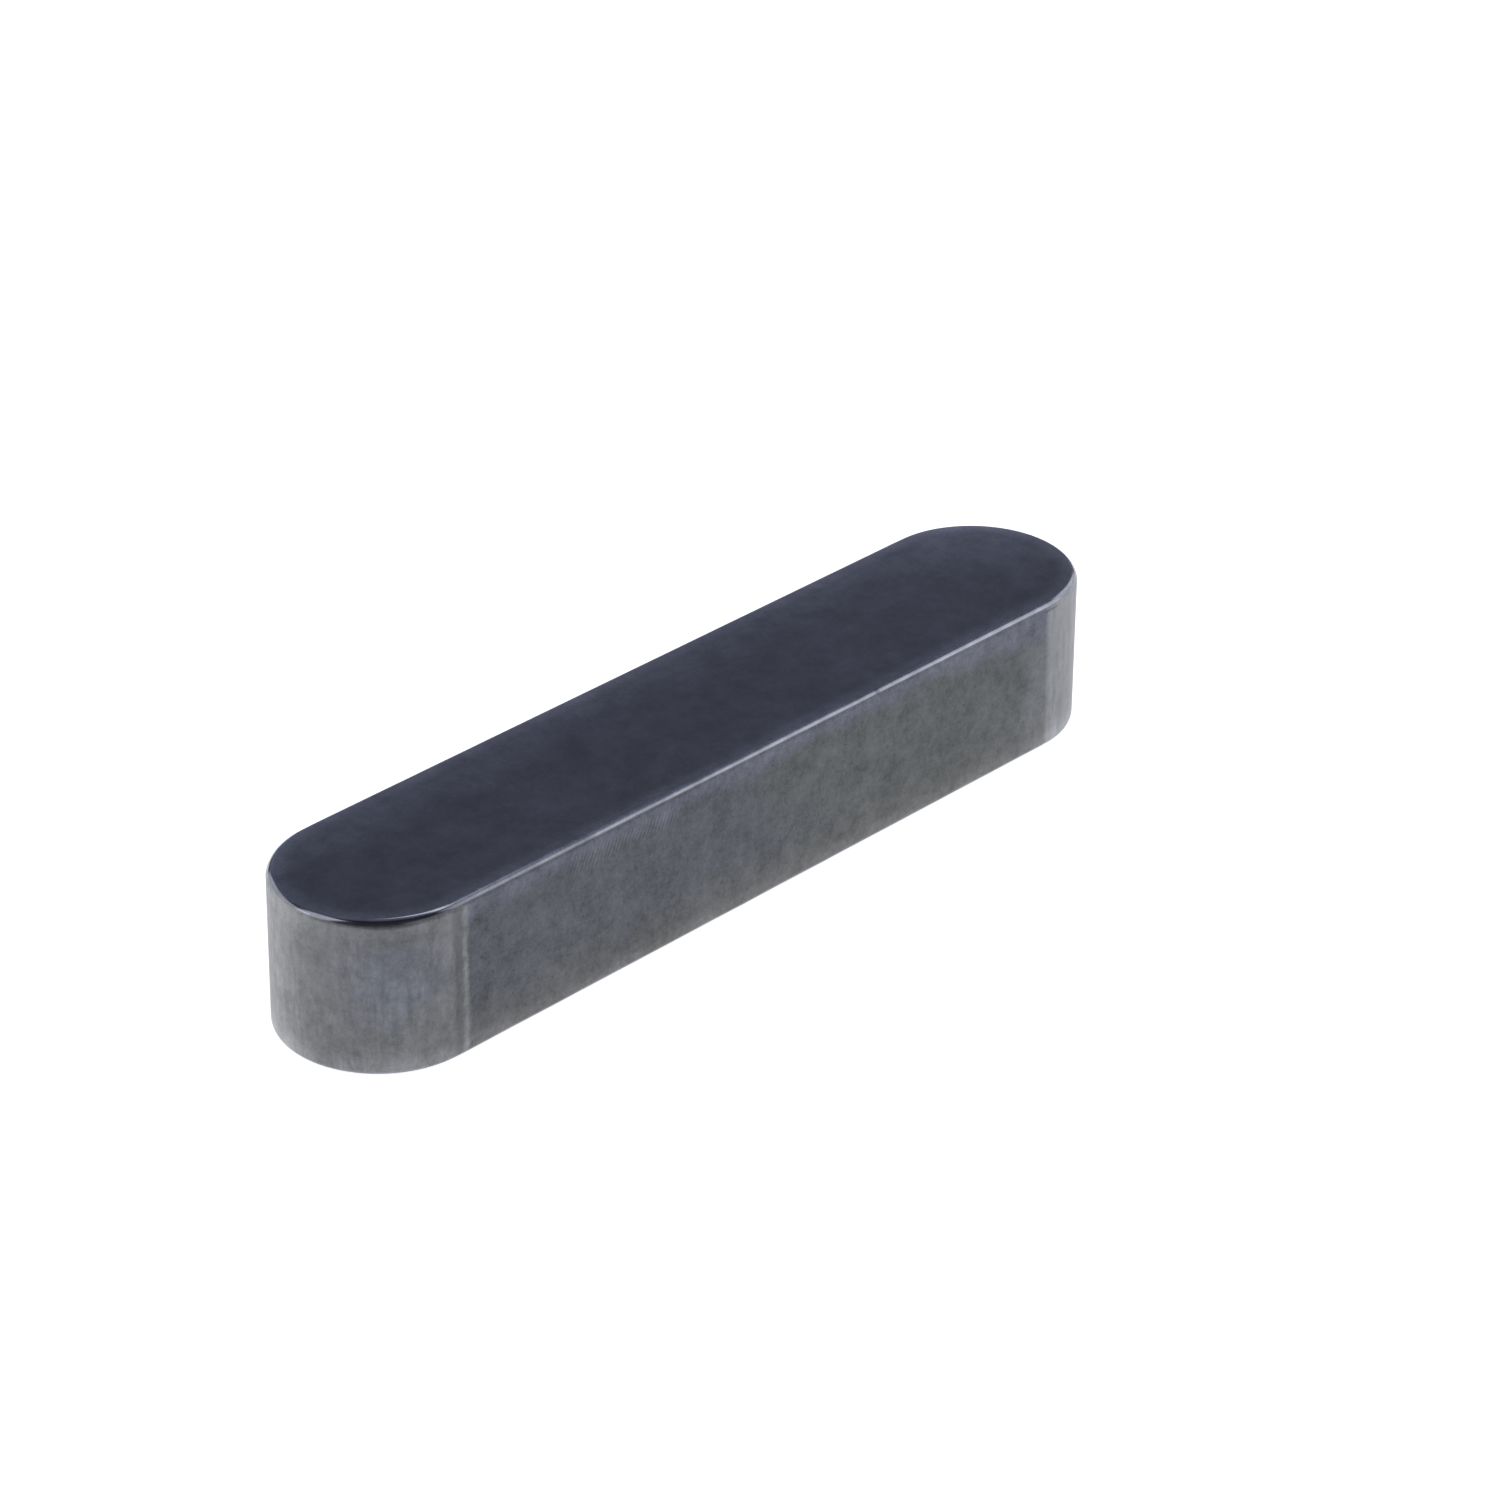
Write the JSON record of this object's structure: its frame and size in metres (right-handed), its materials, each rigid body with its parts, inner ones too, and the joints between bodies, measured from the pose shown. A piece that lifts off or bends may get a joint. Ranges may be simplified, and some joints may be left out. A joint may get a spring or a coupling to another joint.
{
  "type": "parallel key",
  "caption": "Round-ended parallel key: a flat steel bar with half-round ends and broken edges that locks a hub to a shaft in a keyway.",
  "frame": {"origin": "centre of the seat face, the face that lies on the floor of the shaft keyway", "axes": "+X along the key, +Y across it through the drive faces, +Z from the seat to the top face"},
  "size_m": [0.05, 0.01, 0.008],
  "materials": {
    "key_steel": "bright drawn steel with a thin dark oil film, satin flats, milled round ends"
  },
  "bodies": {
    "root": {"parallel_key": "key_steel"}
  },
  "joints": []
}
